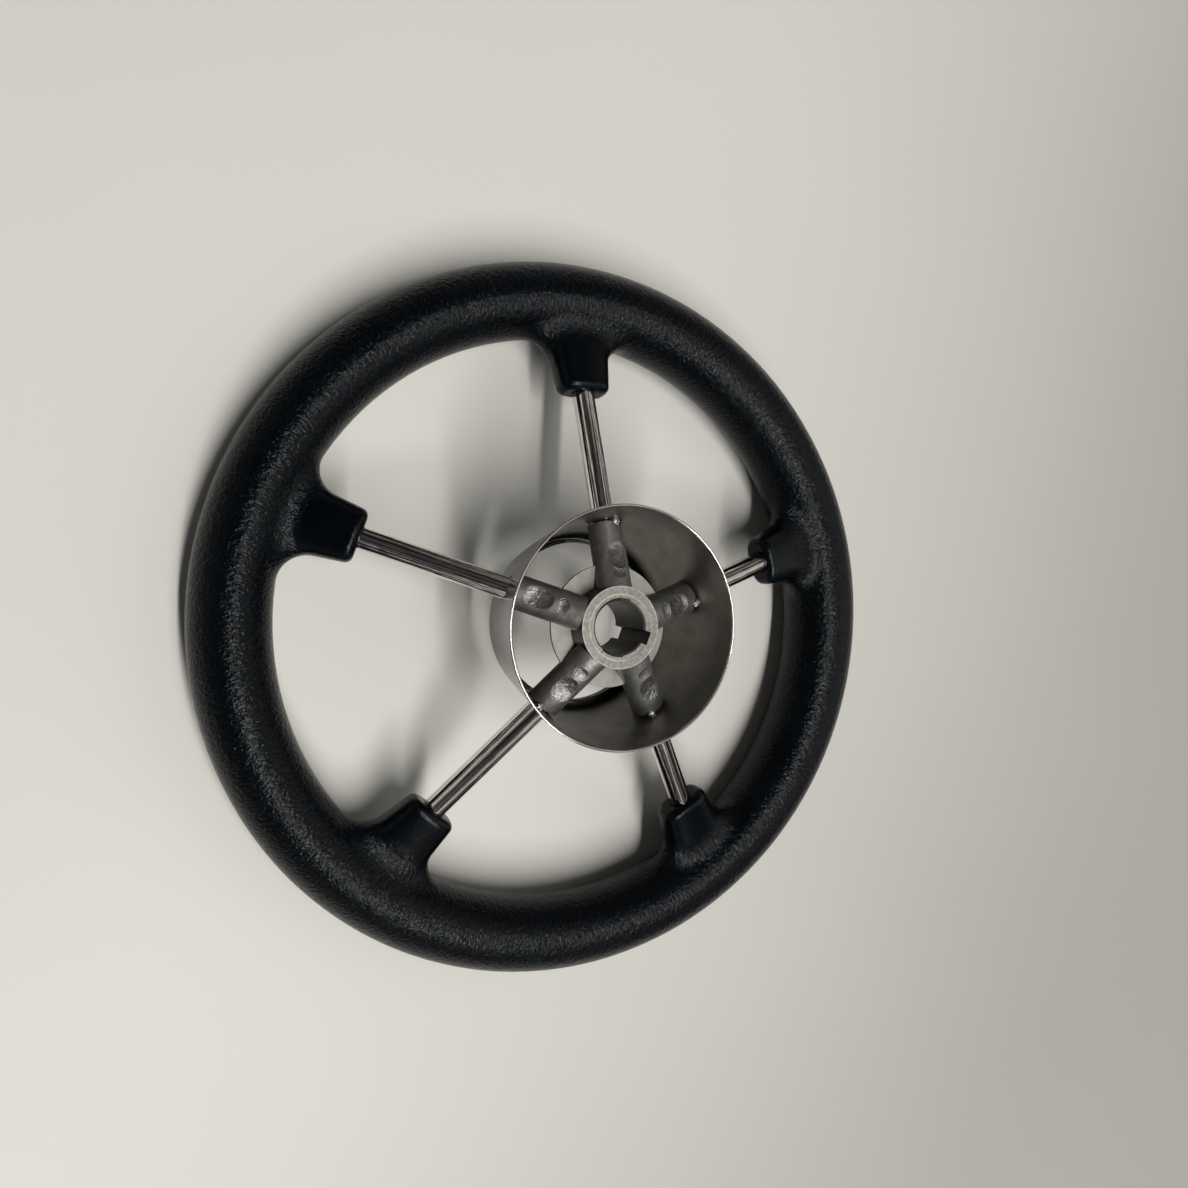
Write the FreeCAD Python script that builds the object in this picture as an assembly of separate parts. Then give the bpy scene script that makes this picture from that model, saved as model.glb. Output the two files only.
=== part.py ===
"""Stainless boat steering wheel: five spokes, moulded foam grip, dished hub for a tapered helm shaft.

Millimetres and degrees, +Z towards the boat's dash (the back of the wheel). The wheel lies face down, so
Z = 0 is the plane that the grip rests on. The Z axis is the shaft axis, spoke 1 points along +Y and the
keyway along -Y.
"""
import FreeCAD, Part
import math
import os

from FreeCAD import Vector

# Grip: the moulded foam ring and its five sockets
WHEEL_DIAMETER = 280.0
GRIP_WIDTH = 29.6
GRIP_HEIGHT = 32.8
SOCKET_LENGTH = 22.7
SOCKET_END_WIDTH = 19.8
SOCKET_END_HEIGHT = 14.0
SOCKET_END_TILT = 11.0
SOCKET_SIDE_DRAFT = 8.0
SOCKET_TOP_DRAFT = 4.0
SOCKET_SQUARENESS = 2.8
SOCKET_END_ROUNDING = 3.0
SOCKET_ROOT_FILLET = 11.0
SOCKET_MOUTH_CHAMFER = 0.5
SOCKET_INTO_RING = 10.0
SOCKET_WIRE_POINTS = 24

# Rim core: the rolled rod inside the foam
RIM_ROD_DIAMETER = 10.0
RIM_WELD_LEG = 2.6
RIM_WELD_OVERLAP = 1.5
RIM_WELD_TOE = 0.1

# Spokes: straight rods that fall from the hub to the rim
SPOKE_COUNT = 5
SPOKE_DIAMETER = 8.4
SPOKE_TILT = 26.5
SPOKE_BELOW_RIM_ROD = 3.4

# Sleeves: the tubes that carry the spokes inside the hub
SLEEVE_DIAMETER = 12.6
SLEEVE_CLEARANCE = 0.05
SLEEVE_END_GAP = 1.1
DIMPLE_FROM_BOSS = 11.4
DIMPLE_LENGTH = 11.0
DIMPLE_DEPTH = 1.5
NICK_FROM_BOSS = 3.4
NICK_LENGTH = 4.6
NICK_DEPTH = 0.7
PUNCH_WIDTH = 18.0
PUNCH_STEEPNESS = 0.5
# How far each sleeve's punch marks lie off: along the sleeve and sideways
PUNCH_ERRORS = [(2.2, 0.0), (1.0, 1.1), (0.0, -0.8), (0.3, -0.4), (-2.3, 1.7)]
NICK_SHARE_OF_ERROR = 0.5

# Hub boss: turned, with a flange, a tapered bore and a keyway
BOSS_DIAMETER = 29.4
BOSS_LENGTH = 22.5
FACE_ABOVE_SLEEVES = 0.3
FLANGE_DIAMETER = 44.4
FLANGE_BELOW_FACE = 10.4
FLANGE_EDGE = 1.2
FLANGE_ROOT = 3.2
BORE_MOUTH_DIAMETER = 19.05
BORE_TAPER = 1.0 / 12.0
BORE_CHAMFER = 1.0
FACE_RELIEF_DIAMETER = 23.4
FACE_RELIEF_DEPTH = 0.4
# Where the relief is left out: the middle of each pad round the shaft axis and its span, in degrees
FACE_PADS = [(184.0, 46.0), (44.0, 92.0)]
KEYWAY_WIDTH = 4.76
KEYWAY_DEPTH = 2.38

# Hub shell: the spun cone round the sleeves, with a turned-in lip at its front
SHELL_REAR_DIAMETER = 86.6
SHELL_FRONT_DIAMETER = 66.8
SHELL_DEPTH = 51.5
SHELL_WALL = 1.0
SHELL_RIM_ABOVE_BOSS = 5.5
LIP_OPENING_DIAMETER = 60.6
LIP_HEIGHT = 5.0
SHELL_EDGE_ROUNDING = 0.3
SPOKE_HOLE_CLEARANCE = 0.5

# Weld beads
TACK_RADIAL = 4.8
TACK_ACROSS = 4.4
TACK_HEIGHT = 3.4
TACK_SIDE_OFFSET = 2.0
TACK_FROM_SHELL = 0.8
BOSS_WELD_RADIAL = 4.6
BOSS_WELD_ACROSS = 8.4
BOSS_WELD_HEIGHT = 4.0
WELD_SINK = 0.4

# How far cutters run past what they cut, and how close counts as touching
CUT_OVERRUN = 1.0
TOUCH = 0.01

# Sizes that follow from the ones above
AXIS_Z = Vector(0, 0, 1)
ORIGIN = Vector(0, 0, 0)
TILT = math.radians(SPOKE_TILT)
RIM_RADIUS = (WHEEL_DIAMETER - GRIP_WIDTH) / 2
RIM_PLANE_Z = GRIP_HEIGHT / 2
RIM_INNER_RADIUS = RIM_RADIUS - GRIP_WIDTH / 2
SOCKET_INNER_RADIUS = RIM_INNER_RADIUS - SOCKET_LENGTH
BOSS_RADIUS = BOSS_DIAMETER / 2
SLEEVE_RADIUS = SLEEVE_DIAMETER / 2
SLEEVE_BORE_RADIUS = SPOKE_DIAMETER / 2 + SLEEVE_CLEARANCE


def spoke_height(radius):
    """Height of every spoke's axis at this distance from the shaft axis."""
    return RIM_PLANE_Z - SPOKE_BELOW_RIM_ROD + math.tan(TILT) * (RIM_RADIUS - radius)


BOSS_FACE_Z = spoke_height(BOSS_RADIUS) + SLEEVE_RADIUS / math.cos(TILT) + FACE_ABOVE_SLEEVES
BOSS_FRONT_Z = BOSS_FACE_Z - BOSS_LENGTH
FLANGE_TOP_Z = BOSS_FACE_Z - FLANGE_BELOW_FACE
SHELL_REAR_Z = BOSS_FACE_Z + SHELL_RIM_ABOVE_BOSS
SHELL_FRONT_Z = SHELL_REAR_Z - SHELL_DEPTH
LIP_BEND_RADIUS = (SHELL_FRONT_DIAMETER - LIP_OPENING_DIAMETER) / 4
LIP_BEND_Z = SHELL_FRONT_Z + LIP_BEND_RADIUS
SHELL_SLOPE = (SHELL_REAR_DIAMETER - SHELL_FRONT_DIAMETER) / 2 / (SHELL_REAR_Z - LIP_BEND_Z)

# Spoke 1's frame: it lies in the plane X = 0, out along +Y and down
SPOKE_DIR = Vector(0, math.cos(TILT), -math.sin(TILT))
SPOKE_UP = Vector(0, math.sin(TILT), math.cos(TILT))
SPOKE_SIDE = Vector(1, 0, 0)

# Socket 1's end face: steeper than square to the spoke, so that the mould can open along Z
END_TILT = math.radians(SOCKET_END_TILT)
END_DIR = Vector(0, math.cos(END_TILT), -math.sin(END_TILT))
END_UP = Vector(0, math.sin(END_TILT), math.cos(END_TILT))


def spoke_point(radius):
    """Point on spoke 1's axis at this distance from the shaft axis."""
    return Vector(0, radius, spoke_height(radius))


def spoke_rod(inner_radius, outer_radius, rod_radius):
    """Cylinder along spoke 1's axis between two distances from the shaft axis."""
    start = spoke_point(inner_radius)
    length = (outer_radius - inner_radius) / math.cos(TILT)
    return Part.makeCylinder(rod_radius, length, start, SPOKE_DIR)


def around(shape, index):
    """Copy of a piece of spoke 1, turned to another spoke."""
    copy = shape.copy()
    copy.rotate(ORIGIN, AXIS_Z, 360.0 * index / SPOKE_COUNT)
    return copy


def all_around(shape):
    """Copies of a piece of spoke 1 at every spoke."""
    return [around(shape, index) for index in range(SPOKE_COUNT)]


def turned(outline, span=360):
    """Solid turned about the shaft axis from an outline of (radius, height) corners."""
    corners = [Vector(radius, 0, height) for radius, height in outline]
    wire = Part.makePolygon(corners + corners[:1])
    return Part.Face(wire).revolve(ORIGIN, AXIS_Z, span)


def largest(shape):
    """The largest solid of a shape."""
    return max(shape.Solids, key=lambda solid: solid.Volume)


def egg(centre, along, across, height, half_along, half_across, half_height):
    """Ellipsoid with its three half axes along three given directions."""
    ball = Part.makeSphere(1.0)
    matrix = FreeCAD.Matrix(
        along.x * half_along, across.x * half_across, height.x * half_height, centre.x,
        along.y * half_along, across.y * half_across, height.y * half_height, centre.y,
        along.z * half_along, across.z * half_across, height.z * half_height, centre.z,
        0, 0, 0, 1)
    return ball.transformGeometry(matrix)


def shell_outer_radius(height):
    """Radius of the hub shell's outer face at a height."""
    return SHELL_FRONT_DIAMETER / 2 + SHELL_SLOPE * (height - LIP_BEND_Z)


def shell_cone(inset, low, high):
    """Solid cone that lies the given distance inside the hub shell's outer face."""
    return Part.makeCone(
        shell_outer_radius(low) - inset, shell_outer_radius(high) - inset, high - low, Vector(0, 0, low))


def make_rim_core():
    """The rolled rod ring inside the foam."""
    return Part.makeTorus(RIM_RADIUS, RIM_ROD_DIAMETER / 2, Vector(0, 0, RIM_PLANE_Z), AXIS_Z)


def make_spoke(rim_core):
    """Spoke 1: a rod from inside its sleeve to the rim rod, coped onto the rim rod."""
    rod = spoke_rod(BOSS_RADIUS + SLEEVE_RADIUS, RIM_RADIUS, SPOKE_DIAMETER / 2)
    return largest(rod.cut(rim_core))


def make_rim_weld(rim_core, spoke):
    """Fillet weld round spoke 1 where it meets the rim rod."""
    radius = SPOKE_DIAMETER / 2
    rod_face = RIM_RADIUS - RIM_ROD_DIAMETER / 2
    start = spoke_point(rod_face + RIM_WELD_OVERLAP - 2 * RIM_WELD_LEG)
    length = 2 * RIM_WELD_LEG / math.cos(TILT)
    bead = Part.makeCone(radius + RIM_WELD_TOE, radius + RIM_WELD_LEG, length, start, SPOKE_DIR)
    return largest(bead.cut(spoke).cut(rim_core))


def barrel():
    """The boss's plain outer cylinder, without its bore."""
    return Part.makeCylinder(BOSS_RADIUS, BOSS_LENGTH, Vector(0, 0, BOSS_FRONT_Z), AXIS_Z)


def bore_radius(height):
    """Radius of the tapered bore at a height."""
    mouth = BORE_MOUTH_DIAMETER / 2
    return mouth - (BOSS_FACE_Z - height) * BORE_TAPER / 2


def make_boss(sleeve_envelopes):
    """Turned boss with its flange saddled over the sleeves, its tapered bore and its keyway."""
    flange_radius = FLANGE_DIAMETER / 2
    flange_inside = bore_radius(FLANGE_TOP_Z)
    flange = turned([
        (flange_inside, FLANGE_TOP_Z),
        (flange_radius, FLANGE_TOP_Z),
        (flange_radius, FLANGE_TOP_Z - FLANGE_EDGE),
        (BOSS_RADIUS, FLANGE_TOP_Z - FLANGE_ROOT),
        (flange_inside, FLANGE_TOP_Z - FLANGE_ROOT)])
    boss = flange.cut(sleeve_envelopes).fuse(barrel())

    chamfer_floor = BOSS_FACE_Z - BORE_CHAMFER
    bore_low = BOSS_FRONT_Z - CUT_OVERRUN
    bore_high = BOSS_FACE_Z + CUT_OVERRUN
    bore = turned([
        (0, bore_low),
        (bore_radius(bore_low), bore_low),
        (bore_radius(chamfer_floor), chamfer_floor),
        (bore_radius(chamfer_floor) + bore_high - chamfer_floor, bore_high),
        (0, bore_high)])
    boss = boss.cut(bore).cut(keyway_cutter(bore_low, bore_high))
    return largest(boss.cut(face_relief(bore_high)))


def face_relief(high):
    """Cutter for the shallow step round the bore's mouth, without the pads that break it."""
    inner = bore_radius(BOSS_FACE_Z) - BORE_CHAMFER
    outer = FACE_RELIEF_DIAMETER / 2
    floor = BOSS_FACE_Z - FACE_RELIEF_DEPTH
    relief = turned([(inner, floor), (outer, floor), (outer, high), (inner, high)])
    low = floor - CUT_OVERRUN
    reach = outer + CUT_OVERRUN
    for middle, span in FACE_PADS:
        pad = turned([(0, low), (reach, low), (reach, high), (0, high)], span)
        pad.rotate(ORIGIN, AXIS_Z, middle - span / 2)
        relief = relief.cut(pad)
    return relief


def keyway_cutter(low, high):
    """Prism for the keyway: it points along -Y and its floor follows the taper."""
    half = KEYWAY_WIDTH / 2
    floor_low = bore_radius(low) + KEYWAY_DEPTH
    floor_high = bore_radius(high) + KEYWAY_DEPTH
    corners = [
        Vector(-half, 0, low),
        Vector(-half, -floor_low, low),
        Vector(-half, -floor_high, high),
        Vector(-half, 0, high)]
    side = Part.Face(Part.makePolygon(corners + corners[:1]))
    return side.extrude(Vector(KEYWAY_WIDTH, 0, 0))


def sleeve_envelope():
    """Outer cylinder of sleeve 1, long enough to reach past both of its ends."""
    return spoke_rod(0, SHELL_REAR_DIAMETER / 2 + SLEEVE_DIAMETER, SLEEVE_RADIUS)


def sleeve_mark(distance, side, length, depth):
    """Cutter for a punch mark on top of sleeve 1, at a distance along it from the boss."""
    lift = depth * PUNCH_STEEPNESS
    half_height = lift + depth
    stretch = 1 / math.sqrt(1 - (lift / half_height) ** 2)
    top = SPOKE_UP * (SLEEVE_RADIUS + lift) + SPOKE_SIDE * side
    centre = spoke_point(BOSS_RADIUS) + SPOKE_DIR * distance + top
    return egg(centre, SPOKE_DIR, SPOKE_SIDE, SPOKE_UP, length / 2 * stretch, PUNCH_WIDTH / 2, half_height)


def make_sleeve(punch_error):
    """Sleeve 1: a tube coped onto the boss, cut off parallel to the shell and marked by a punch."""
    body = sleeve_envelope().common(shell_cone(SHELL_WALL + SLEEVE_END_GAP, LIP_BEND_Z, SHELL_REAR_Z))
    body = largest(body.cut(barrel()))
    body = body.cut(spoke_rod(0, SHELL_REAR_DIAMETER, SLEEVE_BORE_RADIUS))
    along, side = punch_error
    body = body.cut(sleeve_mark(DIMPLE_FROM_BOSS + along, side, DIMPLE_LENGTH, DIMPLE_DEPTH))
    nick_place = NICK_FROM_BOSS + along * NICK_SHARE_OF_ERROR
    body = body.cut(sleeve_mark(nick_place, side, NICK_LENGTH, NICK_DEPTH))
    return largest(body)


def make_boss_weld(sleeve, boss):
    """Weld bead under sleeve 1 where it meets the boss's barrel."""
    underside = spoke_height(BOSS_RADIUS) - SLEEVE_RADIUS / math.cos(TILT)
    centre = Vector(0, BOSS_RADIUS + WELD_SINK, underside - WELD_SINK)
    bead = egg(
        centre, Vector(0, 1, 0), Vector(1, 0, 0), AXIS_Z,
        BOSS_WELD_RADIAL / 2, BOSS_WELD_ACROSS / 2, BOSS_WELD_HEIGHT / 2)
    return largest(bead.cut(boss).cut(sleeve_envelope()))


def shell_profile():
    """Closed section of the hub shell, with the lip turned in and back at the front."""
    rear_radius = SHELL_REAR_DIAMETER / 2
    front_radius = SHELL_FRONT_DIAMETER / 2
    lip_radius = LIP_OPENING_DIAMETER / 2
    lip_top = SHELL_FRONT_Z + LIP_HEIGHT
    bend_centre = front_radius - LIP_BEND_RADIUS
    inner_bend = LIP_BEND_RADIUS - SHELL_WALL

    def at(radius, height):
        return Vector(radius, 0, height)

    def line(start, end):
        return Part.LineSegment(start, end).toShape()

    outer_bend = Part.Arc(
        at(front_radius, LIP_BEND_Z), at(bend_centre, SHELL_FRONT_Z), at(lip_radius, LIP_BEND_Z)).toShape()
    inner_low = LIP_BEND_Z - inner_bend
    inner_arc = Part.Arc(
        at(lip_radius + SHELL_WALL, LIP_BEND_Z), at(bend_centre, inner_low),
        at(front_radius - SHELL_WALL, LIP_BEND_Z)).toShape()
    edges = [
        line(at(rear_radius, SHELL_REAR_Z), at(front_radius, LIP_BEND_Z)),
        outer_bend,
        line(at(lip_radius, LIP_BEND_Z), at(lip_radius, lip_top)),
        line(at(lip_radius, lip_top), at(lip_radius + SHELL_WALL, lip_top)),
        line(at(lip_radius + SHELL_WALL, lip_top), at(lip_radius + SHELL_WALL, LIP_BEND_Z)),
        inner_arc,
        line(at(front_radius - SHELL_WALL, LIP_BEND_Z), at(rear_radius - SHELL_WALL, SHELL_REAR_Z)),
        line(at(rear_radius - SHELL_WALL, SHELL_REAR_Z), at(rear_radius, SHELL_REAR_Z))]
    return Part.Face(Part.Wire(edges))


def make_shell():
    """Hub shell with a clearance hole for each spoke."""
    body = shell_profile().revolve(ORIGIN, AXIS_Z, 360)
    rear_edges = [
        edge for edge in body.Edges
        if all(SHELL_REAR_Z - vertex.Z < TOUCH for vertex in edge.Vertexes)]
    body = body.makeFillet(SHELL_EDGE_ROUNDING, rear_edges)
    hole = spoke_rod(BOSS_RADIUS, RIM_INNER_RADIUS, SPOKE_DIAMETER / 2 + SPOKE_HOLE_CLEARANCE)
    return largest(body.cut(all_around(hole)))


def make_tack(sleeve, shell, spoke):
    """Tack weld that joins the top of sleeve 1's outer end to the hub shell."""
    reach = shell_outer_radius(spoke_height(SHELL_FRONT_DIAMETER / 2)) - SHELL_WALL - SLEEVE_END_GAP
    top = spoke_point(reach) + SPOKE_UP * SLEEVE_RADIUS + SPOKE_SIDE * TACK_SIDE_OFFSET
    wall = shell_outer_radius(top.z) - SHELL_WALL
    centre = Vector(top.x, wall - TACK_FROM_SHELL, top.z - WELD_SINK)
    bead = egg(
        centre, Vector(0, 1, 0), Vector(1, 0, 0), AXIS_Z,
        TACK_RADIAL / 2, TACK_ACROSS / 2, TACK_HEIGHT / 2)
    return largest(bead.cut(sleeve).cut(shell).cut(spoke))


def make_ring_sector():
    """The part of the foam ring that belongs to spoke 1, without its socket."""
    half_angle = 180.0 / SPOKE_COUNT
    top = Vector(0, RIM_RADIUS, GRIP_HEIGHT)
    side = Vector(0, RIM_RADIUS + GRIP_WIDTH / 2, RIM_PLANE_Z)
    ends = [top, side] if GRIP_HEIGHT > GRIP_WIDTH else [side, top]
    ellipse = Part.Ellipse(*ends, Vector(0, RIM_RADIUS, RIM_PLANE_Z))
    section = Part.Face(Part.Wire([ellipse.toShape()]))
    section.rotate(ORIGIN, AXIS_Z, -half_angle)
    return section.revolve(ORIGIN, AXIS_Z, 2 * half_angle)


def socket_wire(radius, upward):
    """Rounded section of socket 1 along an upward direction, at this distance from the shaft axis."""
    centre = spoke_point(radius)
    along = radius - SOCKET_INNER_RADIUS
    half_width = SOCKET_END_WIDTH / 2 + along * math.tan(math.radians(SOCKET_SIDE_DRAFT))
    half_height = SOCKET_END_HEIGHT / 2 + along * math.tan(math.radians(SOCKET_TOP_DRAFT))
    power = 2 / SOCKET_SQUARENESS
    points = []
    for step in range(SOCKET_WIRE_POINTS):
        turn = math.pi / 2 + 2 * math.pi * step / SOCKET_WIRE_POINTS
        across = math.copysign(abs(math.cos(turn)) ** power, math.cos(turn)) * half_width
        up = math.copysign(abs(math.sin(turn)) ** power, math.sin(turn)) * half_height
        points.append(centre + SPOKE_SIDE * across + upward * up)
    curve = Part.BSplineCurve()
    curve.interpolate(points, PeriodicFlag=True)
    return Part.Wire([curve.toShape()])


def make_socket():
    """Socket 1: a drafted block that reaches into the ring, with its end rounded."""
    inside_ring = RIM_INNER_RADIUS + SOCKET_INTO_RING
    wires = [socket_wire(SOCKET_INNER_RADIUS, END_UP), socket_wire(inside_ring, SPOKE_UP)]
    block = Part.makeLoft(wires, True, False)
    end = spoke_point(SOCKET_INNER_RADIUS)
    end_edges = [
        edge for edge in block.Edges
        if all((vertex.Point - end).dot(END_DIR) < TOUCH for vertex in edge.Vertexes)]
    return block.makeFillet(SOCKET_END_ROUNDING, end_edges)


def on_skin(point, solid):
    """Whether a point lies on a solid's surface."""
    return solid.Shells[0].distToShape(Part.Vertex(point))[0] < TOUCH


def make_grip(rim_core, spoke, rim_weld):
    """Foam ring and sockets as one moulding, formed round the rim rod, the spokes and their welds."""
    ring = make_ring_sector()
    socket = make_socket()
    body = ring.fuse(socket)
    creases = []
    for edge in body.Edges:
        middle = edge.valueAt((edge.FirstParameter + edge.LastParameter) / 2)
        if on_skin(middle, ring) and on_skin(middle, socket):
            creases.append(edge)
    body = largest(body.makeFillet(SOCKET_ROOT_FILLET, creases))

    mouth_radius = SPOKE_DIAMETER / 2 + SOCKET_MOUTH_CHAMFER
    mouth = Part.makeCone(
        mouth_radius, SPOKE_DIAMETER / 2, SOCKET_MOUTH_CHAMFER, spoke_point(SOCKET_INNER_RADIUS), END_DIR)
    sectors = all_around(largest(body.cut([rim_core, spoke, rim_weld, mouth])))
    return largest(sectors[0].fuse(sectors[1:]))


def build():
    """Every sub-part of the wheel by its node name."""
    rim_core = make_rim_core()
    spoke = make_spoke(rim_core)
    rim_weld = make_rim_weld(rim_core, spoke)
    sleeves = [make_sleeve(punch_error) for punch_error in PUNCH_ERRORS]
    boss = make_boss(all_around(sleeve_envelope()))
    shell = make_shell()
    parts = {
        "grip": make_grip(rim_core, spoke, rim_weld),
        "rim_core": rim_core,
        "hub_boss": boss,
        "hub_shell": shell}
    repeated = {
        "spoke": spoke,
        "rim_weld": rim_weld,
        "boss_weld": make_boss_weld(sleeves[0], boss),
        "shell_tack": make_tack(sleeves[0], shell, spoke)}
    for index in range(SPOKE_COUNT):
        for name, shape in repeated.items():
            parts[f"{name}_{index + 1}"] = around(shape, index)
        parts[f"spoke_sleeve_{index + 1}"] = around(sleeves[index], index)
    return parts


os.makedirs("parts", exist_ok=True)
for node, shape in build().items():
    shape.exportStep(f"parts/{node}.step")
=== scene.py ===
import math

import bpy
from mathutils import Euler, Matrix, Vector


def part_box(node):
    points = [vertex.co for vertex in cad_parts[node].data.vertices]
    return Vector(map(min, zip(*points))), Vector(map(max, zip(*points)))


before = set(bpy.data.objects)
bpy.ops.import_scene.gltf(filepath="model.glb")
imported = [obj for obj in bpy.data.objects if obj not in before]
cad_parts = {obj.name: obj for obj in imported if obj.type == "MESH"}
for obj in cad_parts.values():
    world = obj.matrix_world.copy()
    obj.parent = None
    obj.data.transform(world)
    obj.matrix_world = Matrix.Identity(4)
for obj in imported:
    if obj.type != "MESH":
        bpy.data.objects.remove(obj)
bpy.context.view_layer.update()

# A stainless boat steering wheel lies face down on a pale table. The solids keep their shapes and
# get their materials here. The wheel's own sizes are in millimetres, and the scene's in metres.
MM = 0.001


def bottom_of(node):
    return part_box(node)[0][2] / MM


def top_of(node):
    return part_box(node)[1][2] / MM


def reach_of(node):
    """How far a node goes out from the wheel's axis, along X."""
    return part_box(node)[1][0] / MM


# The grip's ring is an oval tube round the rim rod
RIM_ROD_RADIUS = (top_of("rim_core") - bottom_of("rim_core")) / 2
RING_RADIUS = reach_of("rim_core") - RIM_ROD_RADIUS
RING_CENTRE_HEIGHT = bottom_of("rim_core") + RIM_ROD_RADIUS
RING_HALF_WIDTH = reach_of("grip") - RING_RADIUS
RING_HALF_HEIGHT = RING_CENTRE_HEIGHT - bottom_of("grip")

# The spokes, with their axes meeting on the wheel's axis
SPOKE_COUNT = 5
FIRST_SPOKE_ANGLE = 90.0
SPOKE_STEP = 360.0 / SPOKE_COUNT
SPOKE_TILT = 26.5
SPOKE_BELOW_RIM_ROD = 3.4
SPOKES_MEET_HEIGHT = (RING_CENTRE_HEIGHT - SPOKE_BELOW_RIM_ROD
                      + RING_RADIUS * math.tan(math.radians(SPOKE_TILT)))
SLEEVE_RADIUS = 6.3

# The hub's boss and shell
BOSS_FACE_HEIGHT = top_of("hub_boss")
BOSS_RADIUS = 14.7
FACE_RELIEF_RADIUS = 11.7
KEYWAY_REACH = 12.3
SHELL_REAR_HEIGHT = top_of("hub_shell")
SHELL_REAR_RADIUS = 43.3
SHELL_WALL = 1.0
LIP_HEIGHT = 5.0
LIP_BEND_RADIUS = 1.55
LIP_TOP_HEIGHT = bottom_of("hub_shell") + LIP_HEIGHT
LIP_BEND_HEIGHT = bottom_of("hub_shell") + LIP_BEND_RADIUS

# Most of a noise's values lie between these
NOISE_LOW = 0.3
NOISE_HIGH = 0.7

UP = Vector((0.0, 0.0, 1.0))
# The photo's directions on the table
PHOTO_UP = Vector((0.951, 0.309, 0.0))
PHOTO_RIGHT = Vector((0.309, -0.951, 0.0))


class Sheet:
    """The nodes of one material or world, written by short calls."""

    # A Mix node's two inputs and its output, for each kind of value
    MIX_SOCKETS = {"FLOAT": (2, 3, 0), "VECTOR": (4, 5, 1), "RGBA": (6, 7, 2)}

    def __init__(self, tree):
        self.tree = tree
        self.nodes = tree.nodes

    def put(self, socket, value):
        """Link a socket to another, or set its number, vector or colour."""
        if isinstance(value, bpy.types.NodeSocket):
            self.tree.links.new(value, socket)
        elif socket.type == "RGBA":
            socket.default_value = (*value, 1.0)
        else:
            socket.default_value = value

    def add(self, kind, inputs=None, **settings):
        node = self.nodes.new(kind)
        for name, value in settings.items():
            setattr(node, name, value)
        for key, value in (inputs or {}).items():
            self.put(node.inputs[key], value)
        return node

    def math(self, operation, first, second=0.0, clamp=False):
        node = self.add("ShaderNodeMath", {0: first, 1: second}, operation=operation, use_clamp=clamp)
        return node.outputs[0]

    def plus(self, first, second):
        return self.math("ADD", first, second)

    def minus(self, first, second):
        return self.math("SUBTRACT", first, second)

    def times(self, first, second):
        return self.math("MULTIPLY", first, second)

    def larger(self, first, second):
        return self.math("MAXIMUM", first, second)

    def length(self, x, y):
        return self.math("SQRT", self.plus(self.times(x, x), self.times(y, y)))

    def vector(self, operation, first, second=(0.0, 0.0, 0.0)):
        node = self.add("ShaderNodeVectorMath", {0: first, 1: second}, operation=operation)
        return node.outputs["Vector"]

    def dot(self, first, second):
        node = self.add("ShaderNodeVectorMath", {0: first, 1: second}, operation="DOT_PRODUCT")
        return node.outputs["Value"]

    def stretched(self, vector, factors):
        return self.vector("MULTIPLY", vector, factors)

    def scaled(self, vector, factor):
        node = self.add("ShaderNodeVectorMath", {0: vector, "Scale": factor}, operation="SCALE")
        return node.outputs["Vector"]

    def split(self, vector):
        return self.add("ShaderNodeSeparateXYZ", {0: vector}).outputs[:3]

    def join(self, x, y, z):
        return self.add("ShaderNodeCombineXYZ", {0: x, 1: y, 2: z}).outputs[0]

    def span(self, value, low, high, out_low=0.0, out_high=1.0, smooth=True):
        """The value carried from one span to another, held at its ends."""
        node = self.add("ShaderNodeMapRange", {"Value": value, "From Min": low, "From Max": high,
                                               "To Min": out_low, "To Max": out_high})
        node.interpolation_type = "SMOOTHSTEP" if smooth else "LINEAR"
        return node.outputs[0]

    def beyond(self, value, limit, fade):
        """0 up to the limit, and 1 from the end of its fade."""
        return self.span(value, limit, limit + fade)

    def within(self, value, limit, fade):
        """1 up to the limit, and 0 from the end of its fade."""
        return self.span(value, limit, limit + fade, 1.0, 0.0)

    def noise(self, vector, scale=1.0, detail=3.0, roughness=0.5, distortion=0.0, fourth=None):
        """A noise's value at a place in space, or in four dimensions with a fourth coordinate."""
        node = self.add("ShaderNodeTexNoise", {"Vector": vector, "Scale": scale, "Detail": detail,
                                               "Roughness": roughness, "Distortion": distortion})
        if fourth is not None:
            node.noise_dimensions = "4D"
            self.put(node.inputs["W"], fourth)
        return node.outputs[0]

    def ramp(self, factor, *stops):
        node = self.add("ShaderNodeValToRGB", {0: factor})
        band = node.color_ramp
        while len(band.elements) < len(stops):
            band.elements.new(0.5)
        for element, (place, colour) in zip(band.elements, stops):
            element.position = place
            element.color = (*colour, 1.0)
        return node.outputs[0]

    def mottle(self, noise, first, second):
        """A colour that a noise carries from the first to the second."""
        return self.ramp(noise, (NOISE_LOW, first), (NOISE_HIGH, second))

    def vary(self, noise, first, second):
        """A number that a noise carries from the first to the second."""
        return self.span(noise, NOISE_LOW, NOISE_HIGH, first, second)

    def blend(self, factor, first, second, kind="FLOAT"):
        """From the first value to the second as the factor goes from 0 to 1."""
        into_first, into_second, result = self.MIX_SOCKETS[kind]
        node = self.add("ShaderNodeMix", {0: factor, into_first: first, into_second: second}, data_type=kind)
        return node.outputs[result]

    def blend_colour(self, factor, first, second):
        return self.blend(factor, first, second, "RGBA")

    def bump(self, height, depth, normal=None):
        """The normal of a relief with its depth in millimetres, laid over another normal."""
        node = self.add("ShaderNodeBump", {"Height": height, "Distance": depth * MM})
        if normal is not None:
            self.put(node.inputs["Normal"], normal)
        return node.outputs[0]


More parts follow.
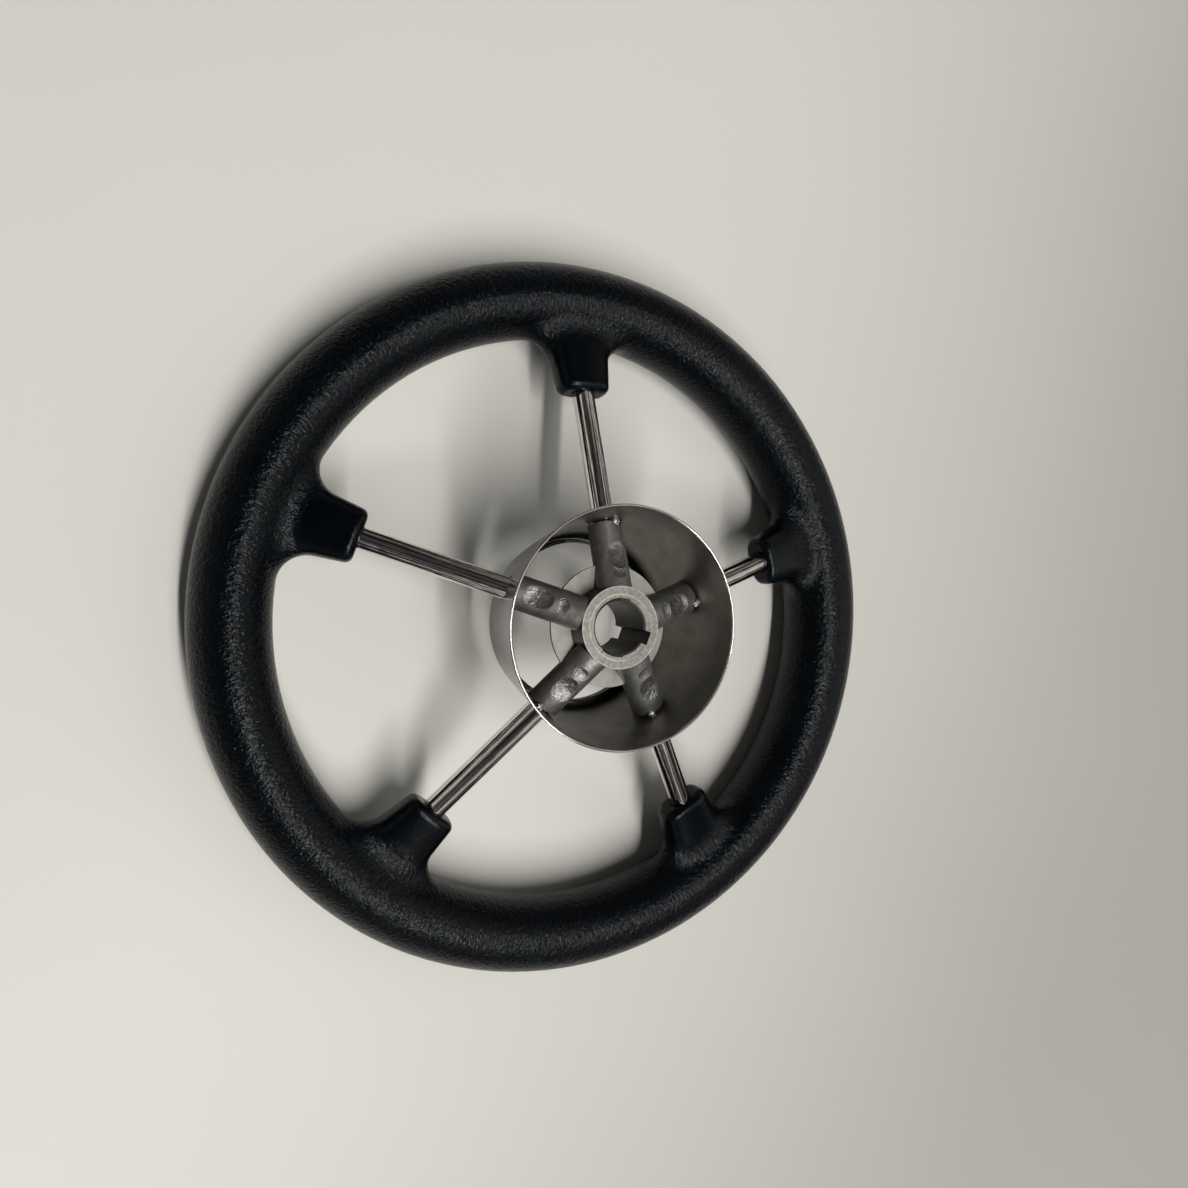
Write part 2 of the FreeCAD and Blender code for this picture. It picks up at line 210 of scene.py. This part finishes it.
def new_material(name, metallic=0.0):
    """A material with its sheet, its shader and the place on the wheel in millimetres."""
    material = bpy.data.materials.new(name)
    material.use_nodes = True
    sheet = Sheet(material.node_tree)
    shader = sheet.nodes["Principled BSDF"]
    shader.inputs["Metallic"].default_value = metallic
    place = sheet.add("ShaderNodeTexCoord").outputs["Object"]
    return material, sheet, shader, sheet.stretched(place, (1 / MM, 1 / MM, 1 / MM))


def set_finish(sheet, shader, colour, roughness, normal):
    sheet.put(shader.inputs["Base Color"], colour)
    sheet.put(shader.inputs["Roughness"], roughness)
    sheet.put(shader.inputs["Normal"], normal)


def round_axis(sheet, place):
    """The distance from the wheel's axis, the height and the direction straight out."""
    x, y, height = sheet.split(place)
    return sheet.length(x, y), height, sheet.vector("NORMALIZE", sheet.join(x, y, 0.0))


def turned_lines(sheet, radius, height, per_mm, detail, roughness):
    """Noise in lines round the axis, as turning leaves them."""
    section = sheet.join(sheet.times(radius, per_mm), sheet.times(height, per_mm), 0.0)
    return sheet.noise(section, detail=detail, roughness=roughness)


# Moulded foam. The wrinkles are long round the tube, and grow faint along a socket
FOAM_BLACK = (0.0004, 0.0012, 0.0021)
FOAM_GREY = (0.0012, 0.0023, 0.0036)
FOAM_GLOSS_TINT = (0.93, 0.98, 1.0)
FOAM_IOR = 1.24
WRINKLE_DEPTH = 0.6
WRINKLE_STRETCH = 0.5
WRINKLES_FULL_REACH = 1.15
WRINKLES_FAINT_REACH = 1.75
WRINKLES_FAINT = 0.12
PORE_DEPTH = 0.05


def foam_material():
    """Moulded foam: wrinkles on the ring, fine pores and a faint mottle."""
    material, sheet, shader, place = new_material("foam grip")
    radius, height, straight_out = round_axis(sheet, place)
    out = sheet.minus(radius, RING_RADIUS)
    up = sheet.minus(height, RING_CENTRE_HEIGHT)
    # The reach is 1 on the ring's skin, and more on the sockets
    reach = sheet.length(sheet.times(out, 1 / RING_HALF_WIDTH), sheet.times(up, 1 / RING_HALF_HEIGHT))
    fading = sheet.span(reach, WRINKLES_FULL_REACH, WRINKLES_FAINT_REACH, 1.0, WRINKLES_FAINT)
    on_ring = sheet.vector("ADD", sheet.scaled(straight_out, RING_RADIUS),
                           sheet.join(0.0, 0.0, sheet.times(out, WRINKLE_STRETCH)))
    wrinkles = sheet.noise(on_ring, detail=2.0, distortion=0.6, fourth=sheet.times(up, WRINKLE_STRETCH))
    pores = sheet.noise(place, scale=2.6, roughness=0.6)
    blotch = sheet.noise(place, scale=0.06)
    relief = sheet.bump(sheet.times(wrinkles, fading), WRINKLE_DEPTH)
    relief = sheet.bump(pores, PORE_DEPTH, relief)
    set_finish(sheet, shader, colour=sheet.mottle(blotch, FOAM_BLACK, FOAM_GREY), normal=relief,
               roughness=sheet.plus(sheet.vary(pores, 0.2, 0.27), sheet.vary(blotch, -0.02, 0.02)))
    sheet.put(shader.inputs["IOR"], FOAM_IOR)
    sheet.put(shader.inputs["Specular Tint"], FOAM_GLOSS_TINT)
    return material


def spoke_axes(index):
    """A spoke's own directions: to its side, along it and up from it."""
    turn = math.radians(FIRST_SPOKE_ANGLE + SPOKE_STEP * index)
    tilt = math.radians(SPOKE_TILT)
    outward = Vector((math.cos(turn), math.sin(turn), 0.0))
    side = Vector((math.sin(turn), -math.cos(turn), 0.0))
    axis = outward * math.cos(tilt) - UP * math.sin(tilt)
    return side, axis, side.cross(axis)


# Polished rod. The noises' cells per millimetre are given to the side, along and up from the spoke
POLISHED_DARK = (0.65, 0.61, 0.575)
POLISHED_BRIGHT = (0.79, 0.765, 0.73)
POLISHING_LINES = (3.0, 0.05, 3.0)
POLISHING_LINE_DEPTH = 0.012
ROD_WAVES = (0.5, 0.06, 0.5)
ROD_WAVE_DEPTH = 0.1
ROD_MARKS = (0.35, 0.12, 0.35)


def spoke_material(index):
    """Polished rod: fine lines, soft waves and marks run along the spoke."""
    material, sheet, shader, place = new_material(f"polished spoke {index + 1}", metallic=1.0)
    own = sheet.join(*(sheet.dot(place, tuple(way)) for way in spoke_axes(index)))
    lines = sheet.noise(sheet.stretched(own, POLISHING_LINES), detail=4.0, roughness=0.6)
    waves = sheet.noise(sheet.stretched(own, ROD_WAVES), detail=2.0)
    marks = sheet.noise(sheet.stretched(own, ROD_MARKS), detail=5.0, roughness=0.65)
    relief = sheet.bump(waves, ROD_WAVE_DEPTH)
    relief = sheet.bump(lines, POLISHING_LINE_DEPTH, relief)
    set_finish(sheet, shader, colour=sheet.mottle(marks, POLISHED_DARK, POLISHED_BRIGHT),
               roughness=sheet.vary(lines, 0.03, 0.09), normal=relief)
    return material


# Spun sheet. A bright strip runs along its rear edge, and its relief stops clear of it
SHELL_OUTER_DARK = (0.2, 0.197, 0.192)
SHELL_OUTER_BRIGHT = (0.27, 0.265, 0.258)
SHELL_INNER_DARK = (0.15, 0.143, 0.128)
SHELL_INNER_BRIGHT = (0.25, 0.238, 0.215)
SHELL_CORNER_PAINTED_SHADE = (0.02, 0.019, 0.018)
SHELL_BURNISHED = (0.52, 0.508, 0.48)
SHELL_FRONT_SHADE = 0.15
SHELL_SHADE_END = SHELL_REAR_HEIGHT - 12.0
REAR_STRIP = 0.6
RELIEF_CLEARANCE = 6.0
TURNING_LINE_DEPTH = 0.012
SHELL_WAVE_DEPTH = 0.4


def shell_material():
    """Spun sheet: satin outside with fine turning lines, dull inside, bright at its edges, with painted
    shade towards the front and inside at the lip.
    """
    material, sheet, shader, place = new_material("spun shell", metallic=1.0)
    radius, height, straight_out = round_axis(sheet, place)
    facing = sheet.add("ShaderNodeNewGeometry").outputs["Normal"]
    inside = sheet.within(sheet.dot(facing, straight_out), -0.3, fade=0.2)
    rear_edge = sheet.beyond(height, SHELL_REAR_HEIGHT - REAR_STRIP, fade=0.2)
    front_curl = sheet.within(height, LIP_BEND_HEIGHT + 0.3, fade=0.6)
    edges = sheet.larger(rear_edge, sheet.times(front_curl, sheet.minus(1.0, inside)))
    cloud = sheet.noise(place, scale=0.08, detail=4.0, roughness=0.6)
    lines = turned_lines(sheet, radius, height, per_mm=2.0, detail=4.0, roughness=0.65)

    # Painted shade: the outside darkens towards the front, and the inside is painted nearly black in the
    # corner at the lip
    outer = sheet.mottle(cloud, SHELL_OUTER_DARK, SHELL_OUTER_BRIGHT)
    outer = sheet.scaled(outer, sheet.span(height, LIP_BEND_HEIGHT + 1.0, SHELL_SHADE_END,
                                           SHELL_FRONT_SHADE, 1.0, smooth=False))
    inner = sheet.mottle(cloud, SHELL_INNER_DARK, SHELL_INNER_BRIGHT)
    painted_corner_shade = sheet.times(sheet.within(height, LIP_TOP_HEIGHT + 1.0, fade=8.0), inside)
    colour = sheet.blend_colour(inside, outer, inner)
    colour = sheet.blend_colour(painted_corner_shade, colour, SHELL_CORNER_PAINTED_SHADE)
    colour = sheet.blend_colour(edges, colour, SHELL_BURNISHED)
    roughness = sheet.blend(rear_edge, sheet.blend(inside, 0.2, 0.42), 0.12)
    roughness = sheet.plus(roughness, sheet.vary(lines, -0.03, 0.04))

    # The relief ends short of the burnished rear edge, which rolls over from inside to outside
    clear_of_edge = sheet.within(height, SHELL_REAR_HEIGHT - RELIEF_CLEARANCE, fade=5.0)
    relief = sheet.bump(sheet.times(sheet.minus(lines, 0.5), clear_of_edge), TURNING_LINE_DEPTH)
    relief = sheet.bump(sheet.times(sheet.minus(cloud, 0.5), clear_of_edge), SHELL_WAVE_DEPTH, relief)
    lean = sheet.span(radius, SHELL_REAR_RADIUS - SHELL_WALL, SHELL_REAR_RADIUS, -1.0, 1.0, smooth=False)
    lift = sheet.math("SQRT", sheet.math("SUBTRACT", 1.0, sheet.times(lean, lean), clamp=True))
    rolled = sheet.vector("ADD", sheet.scaled(straight_out, lean), sheet.join(0.0, 0.0, lift))
    set_finish(sheet, shader, colour, roughness, normal=sheet.blend(rear_edge, relief, rolled, "VECTOR"))
    return material


# Turned bar
FACE_DARK = (0.16, 0.155, 0.139)
FACE_GREY = (0.215, 0.209, 0.19)
FACE_BRIGHT = (0.28, 0.272, 0.25)
FACE_WORN = (0.42, 0.41, 0.378)
FLANGE_DARK = (0.19, 0.184, 0.168)
FLANGE_BRIGHT = (0.27, 0.262, 0.243)
PAINTED_SHADE_DARK = (0.02, 0.019, 0.018)
PAINTED_SHADE_BRIGHT = (0.045, 0.043, 0.04)
LATHE_LINE_DEPTH = 0.03
SCUFF_DEPTH = 0.05


def boss_material():
    """Turned bar: lathe lines round the axis, a scuffed face with worn edges, and painted shade in the bore
    and keyway and on the barrel.
    """
    material, sheet, shader, place = new_material("turned boss", metallic=1.0)
    radius, height, straight_out = round_axis(sheet, place)
    lines = turned_lines(sheet, radius, height, per_mm=2.6, detail=3.0, roughness=0.7)
    cloud = sheet.noise(place, scale=0.16, detail=4.0, roughness=0.6)
    scuffs = sheet.noise(place, scale=0.7, detail=5.0, roughness=0.7)

    face = sheet.ramp(scuffs, (0.34, FACE_DARK), (0.5, FACE_GREY), (0.66, FACE_BRIGHT))
    from_relief = sheet.math("ABSOLUTE", sheet.minus(radius, FACE_RELIEF_RADIUS))
    edges = sheet.larger(sheet.beyond(radius, BOSS_RADIUS - 0.5, fade=0.4),
                         sheet.within(from_relief, 0.1, fade=0.25))
    worn = sheet.times(edges, sheet.span(scuffs, 0.35, 0.6, 0.4, 0.9))
    face = sheet.blend_colour(worn, face, FACE_WORN)
    flange = sheet.mottle(cloud, FLANGE_DARK, FLANGE_BRIGHT)
    # Painted shade for the bore, the keyway and the barrel between the sleeves
    dark = sheet.mottle(cloud, PAINTED_SHADE_DARK, PAINTED_SHADE_BRIGHT)

    facing = sheet.add("ShaderNodeNewGeometry").outputs["Normal"]
    outward = sheet.dot(facing, straight_out)
    bore = sheet.within(outward, -0.95, fade=0.15)
    keyway = sheet.times(sheet.within(radius, KEYWAY_REACH, fade=0.3),
                         sheet.within(sheet.dot(facing, tuple(UP)), 0.3, fade=0.2))
    barrel = sheet.times(sheet.beyond(outward, 0.8, fade=0.15),
                         sheet.within(radius, BOSS_RADIUS + 0.2, fade=0.3))
    # The painted shade goes in the bore, the keyway and on the barrel
    shadowed = sheet.larger(sheet.larger(bore, keyway), barrel)
    below_face = sheet.within(height, BOSS_FACE_HEIGHT - 5.0, fade=3.0)
    colour = sheet.blend_colour(shadowed, sheet.blend_colour(below_face, face, flange), dark)
    relief = sheet.bump(lines, LATHE_LINE_DEPTH)
    relief = sheet.bump(scuffs, SCUFF_DEPTH, relief)
    set_finish(sheet, shader, colour, normal=relief,
               roughness=sheet.plus(sheet.vary(lines, 0.34, 0.44), sheet.vary(cloud, -0.04, 0.04)))
    return material


# Drawn tube
SLEEVE_DARK = (0.19, 0.184, 0.172)
SLEEVE_BRIGHT = (0.31, 0.302, 0.284)
BRUISE_DARK = (0.15, 0.145, 0.136)
BRUISE_BRIGHT = (0.23, 0.223, 0.21)
DENT_RIM_PAINTED_SHADE = (0.08, 0.077, 0.072)
DENT_RIM_SHADE_SHARE = 0.7
SLEEVE_GRAIN_DEPTH = 0.03
SLEEVE_WAVE_DEPTH = 0.3
BRUISE_DEPTH = 0.4


def sleeve_material(index):
    """Drawn tube, left dull, with bruised dents and painted shade round their rims."""
    material, sheet, shader, place = new_material(f"dull sleeve {index + 1}", metallic=0.9)
    side, _, top = spoke_axes(index)
    above_axis = sheet.minus(sheet.dot(place, tuple(top)), SPOKES_MEET_HEIGHT * top.z)
    away = sheet.length(sheet.dot(place, tuple(side)), above_axis)
    dent = sheet.within(away, SLEEVE_RADIUS - 0.3, fade=0.22)
    # Painted shade: a dark band round the rim of each dent
    painted_rim_shade = sheet.times(dent, sheet.beyond(away, SLEEVE_RADIUS - 0.45, fade=0.33))
    grain = sheet.noise(place, scale=2.2, detail=4.0, roughness=0.6)
    cloud = sheet.noise(place, scale=0.25, detail=4.0, roughness=0.6)
    bruise = sheet.times(sheet.noise(place, scale=0.5, detail=1.5, distortion=0.8), dent)
    relief = sheet.bump(grain, SLEEVE_GRAIN_DEPTH)
    relief = sheet.bump(cloud, SLEEVE_WAVE_DEPTH, relief)
    relief = sheet.bump(bruise, BRUISE_DEPTH, relief)
    skin = sheet.mottle(cloud, SLEEVE_DARK, SLEEVE_BRIGHT)
    bruised = sheet.ramp(bruise, (0.42, BRUISE_DARK), (0.62, BRUISE_BRIGHT))
    # The dents' rims get painted shade
    bruised = sheet.blend_colour(sheet.times(painted_rim_shade, DENT_RIM_SHADE_SHARE), bruised, DENT_RIM_PAINTED_SHADE)
    set_finish(sheet, shader, colour=sheet.blend_colour(dent, skin, bruised), normal=relief,
               roughness=sheet.blend(dent, sheet.vary(grain, 0.44, 0.56), 0.43))
    return material


WELD_DARK = (0.2, 0.192, 0.18)
WELD_BRIGHT = (0.34, 0.33, 0.31)
RIPPLE_DEPTH = 0.45


def weld_material():
    """Weld metal: glossy, with small ripples."""
    material, sheet, shader, place = new_material("weld bead", metallic=1.0)
    ripple = sheet.noise(place, scale=1.1, detail=2.5, distortion=0.6)
    cloud = sheet.noise(place, scale=0.35, detail=4.0, roughness=0.6)
    set_finish(sheet, shader, colour=sheet.mottle(cloud, WELD_DARK, WELD_BRIGHT),
               roughness=sheet.vary(ripple, 0.14, 0.28), normal=sheet.bump(ripple, RIPPLE_DEPTH))
    return material


RIM_ROD_DARK = (0.38, 0.37, 0.355)
RIM_ROD_BRIGHT = (0.52, 0.51, 0.49)
RIM_ROD_GRAIN_DEPTH = 0.04


def rim_rod_material():
    """The bare bar inside the foam."""
    material, sheet, shader, place = new_material("bare rod", metallic=1.0)
    grain = sheet.noise(place, scale=1.5, detail=4.0, roughness=0.6)
    set_finish(sheet, shader, colour=sheet.mottle(grain, RIM_ROD_DARK, RIM_ROD_BRIGHT),
               roughness=sheet.vary(grain, 0.3, 0.45), normal=sheet.bump(grain, RIM_ROD_GRAIN_DEPTH))
    return material


def dress(node, material):
    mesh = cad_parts[node].data
    mesh.materials.clear()
    mesh.materials.append(material)


dress("grip", foam_material())
dress("rim_core", rim_rod_material())
dress("hub_boss", boss_material())
dress("hub_shell", shell_material())
weld = weld_material()
for index in range(SPOKE_COUNT):
    dress(f"spoke_{index + 1}", spoke_material(index))
    dress(f"spoke_sleeve_{index + 1}", sleeve_material(index))
    for piece in ("rim_weld", "boss_weld", "shell_tack"):
        dress(f"{piece}_{index + 1}", weld)

# The table, and the rooms that it ends in: pale for the camera, dark in the metal's reflections
CLOTH_DARK = (0.705, 0.69, 0.643)
CLOTH_BRIGHT = (0.735, 0.721, 0.675)
SHADED_CLOTH_DARK = (0.385, 0.376, 0.343)
SHADED_CLOTH_BRIGHT = (0.41, 0.401, 0.369)
SHADED_WAY = PHOTO_RIGHT * 0.9 - PHOTO_UP * 0.45
PALE_ROOM = (0.62, 0.609, 0.572)
DARK_ROOM = (0.02, 0.019, 0.018)
BLACK = (0.0, 0.0, 0.0)
TABLE_SIZE = 6.0


def table_material():
    """Pale cloth, shaded towards the photo's lower right and lit like the background far away."""
    material = bpy.data.materials.new("table")
    material.use_nodes = True
    sheet = Sheet(material.node_tree)
    shader = sheet.nodes["Principled BSDF"]
    place = sheet.add("ShaderNodeTexCoord").outputs["Object"]
    cloud = sheet.noise(place, scale=3.0)
    pale = sheet.mottle(cloud, CLOTH_DARK, CLOTH_BRIGHT)
    shaded = sheet.mottle(cloud, SHADED_CLOTH_DARK, SHADED_CLOTH_BRIGHT)
    shade = sheet.beyond(sheet.dot(place, tuple(SHADED_WAY)), -0.1, fade=0.48)
    cloth = sheet.blend_colour(shade, pale, shaded)
    distance = sheet.add("ShaderNodeVectorMath", {0: place}, operation="LENGTH").outputs["Value"]
    rays = sheet.add("ShaderNodeLightPath").outputs
    # In the metal's reflections the table ends where the dark room starts
    ended = sheet.times(sheet.beyond(distance, 0.3, fade=0.25), rays["Is Glossy Ray"])
    cloth = sheet.blend_colour(ended, cloth, DARK_ROOM)
    # The glow comes up while the lamps' light falls off, so no edge or band is seen
    faded = sheet.times(sheet.beyond(distance, 0.6, fade=1.1), rays["Is Camera Ray"])
    glow = sheet.times(sheet.beyond(distance, 0.45, fade=1.05), rays["Is Camera Ray"])
    sheet.put(shader.inputs["Base Color"], sheet.blend_colour(faded, cloth, BLACK))
    sheet.put(shader.inputs["Emission Color"], PALE_ROOM)
    sheet.put(shader.inputs["Emission Strength"], glow)
    sheet.put(shader.inputs["Roughness"], 0.75)
    sheet.put(shader.inputs["Specular IOR Level"], 0.2)
    return material


bpy.ops.mesh.primitive_plane_add(size=TABLE_SIZE, location=(0.0, 0.0, 0.0))
floor = bpy.context.object
floor.name = "table"
floor.data.materials.append(table_material())


def add_lamp(name, place, length, width, power, colour):
    """A rectangular soft light, long in the photo's up direction and aimed at the wheel."""
    data = bpy.data.lights.new(name, "AREA")
    data.shape = "RECTANGLE"
    data.size = length
    data.size_y = width
    data.energy = power
    data.color = colour
    lamp = bpy.data.objects.new(name, data)
    bpy.context.scene.collection.objects.link(lamp)
    back = place.normalized()
    long_axis = (PHOTO_UP - back * PHOTO_UP.dot(back)).normalized()
    turned = Matrix((long_axis, back.cross(long_axis), back)).transposed()
    lamp.matrix_world = Matrix.Translation(place) @ turned.to_4x4()


# A long narrow light overhead with a weaker, wider wing, and a broad one to the right of them
STRIP_PLACE = UP * 1.6 - PHOTO_UP * 0.58
STRIP_LENGTH = 1.45
STRIP_WIDTH = 0.1
STRIP_POWER = 22.0
STRIP_COLOUR = (1.0, 0.99, 0.965)
WING_OFFSET = 0.18
WING_WIDTH = 0.26
WING_POWER = 6.0
BROAD_PLACE = UP * 1.1 + PHOTO_RIGHT * 1.15
BROAD_SIZE = 1.3
BROAD_POWER = 4.6
BROAD_COLOUR = (1.0, 0.985, 0.955)
add_lamp("strip light", STRIP_PLACE, STRIP_LENGTH, STRIP_WIDTH, STRIP_POWER, STRIP_COLOUR)
add_lamp("strip wing", STRIP_PLACE + PHOTO_RIGHT * WING_OFFSET, STRIP_LENGTH, WING_WIDTH,
         WING_POWER, STRIP_COLOUR)
add_lamp("broad light", BROAD_PLACE, BROAD_SIZE, BROAD_SIZE, BROAD_POWER, BROAD_COLOUR)

# The room's patches, and the pale pane overhead that level metal mirrors in the photo
WALL_DARK = (0.012, 0.011, 0.011)
WALL_GREY = (0.16, 0.15, 0.14)
WALL_BRIGHT = (0.6, 0.58, 0.55)
CEILING_DARK = (0.01, 0.01, 0.011)
CEILING_BRIGHT = (0.12, 0.12, 0.117)
CEILING_START = 0.45
FILL_DARK = (0.07, 0.07, 0.068)
FILL_BRIGHT = (0.1, 0.1, 0.098)
PANE_COLOUR = (0.3, 0.292, 0.275)
PANE_DIRECTION = (PHOTO_RIGHT * 0.43 + UP * 0.9).normalized()
PANE_FULL_ANGLE = 10.0
PANE_END_ANGLE = 24.0


def light_room():
    """The world: an even fill, a patchy dim room in the metal's reflections, a pale background."""
    world = bpy.data.worlds.new("room")
    bpy.context.scene.world = world
    world.use_nodes = True
    sheet = Sheet(world.node_tree)
    background = sheet.nodes["Background"]
    direction = sheet.add("ShaderNodeTexCoord").outputs["Generated"]
    patches = sheet.noise(direction, scale=2.6, roughness=0.6)
    walls = sheet.ramp(patches, (0.42, WALL_DARK), (0.5, WALL_GREY), (0.57, WALL_BRIGHT))
    ceiling = sheet.ramp(patches, (0.42, CEILING_DARK), (0.62, CEILING_BRIGHT))
    height = sheet.split(direction)[2]
    mirrored = sheet.blend_colour(sheet.beyond(height, CEILING_START, fade=0.3), walls, ceiling)
    pane = sheet.span(sheet.dot(direction, tuple(PANE_DIRECTION)),
                      math.cos(math.radians(PANE_END_ANGLE)), math.cos(math.radians(PANE_FULL_ANGLE)))
    mirrored = sheet.blend_colour(pane, mirrored, PANE_COLOUR)
    fill = sheet.mottle(patches, FILL_DARK, FILL_BRIGHT)
    rays = sheet.add("ShaderNodeLightPath").outputs
    room = sheet.blend_colour(rays["Is Glossy Ray"], fill, mirrored)
    sheet.put(background.inputs["Color"], sheet.blend_colour(rays["Is Camera Ray"], room, PALE_ROOM))


light_room()

# The photo's camera, as fitted to the wheel, with its turns in degrees
CAMERA_PLACE = (-0.03728, 0.16719, 0.43122)
CAMERA_TURNS = (-1.98661, -24.09945, -68.88367)
LENS = 34.06
SENSOR_WIDTH = 36.0
camera_data = bpy.data.cameras.new("photo camera")
camera_data.lens = LENS
camera_data.sensor_width = SENSOR_WIDTH
camera = bpy.data.objects.new("photo camera", camera_data)
camera.location = CAMERA_PLACE
camera.rotation_euler = Euler([math.radians(turn) for turn in CAMERA_TURNS], "XYZ")
bpy.context.scene.collection.objects.link(camera)
bpy.context.scene.camera = camera
bpy.context.scene.view_settings.view_transform = "Standard"
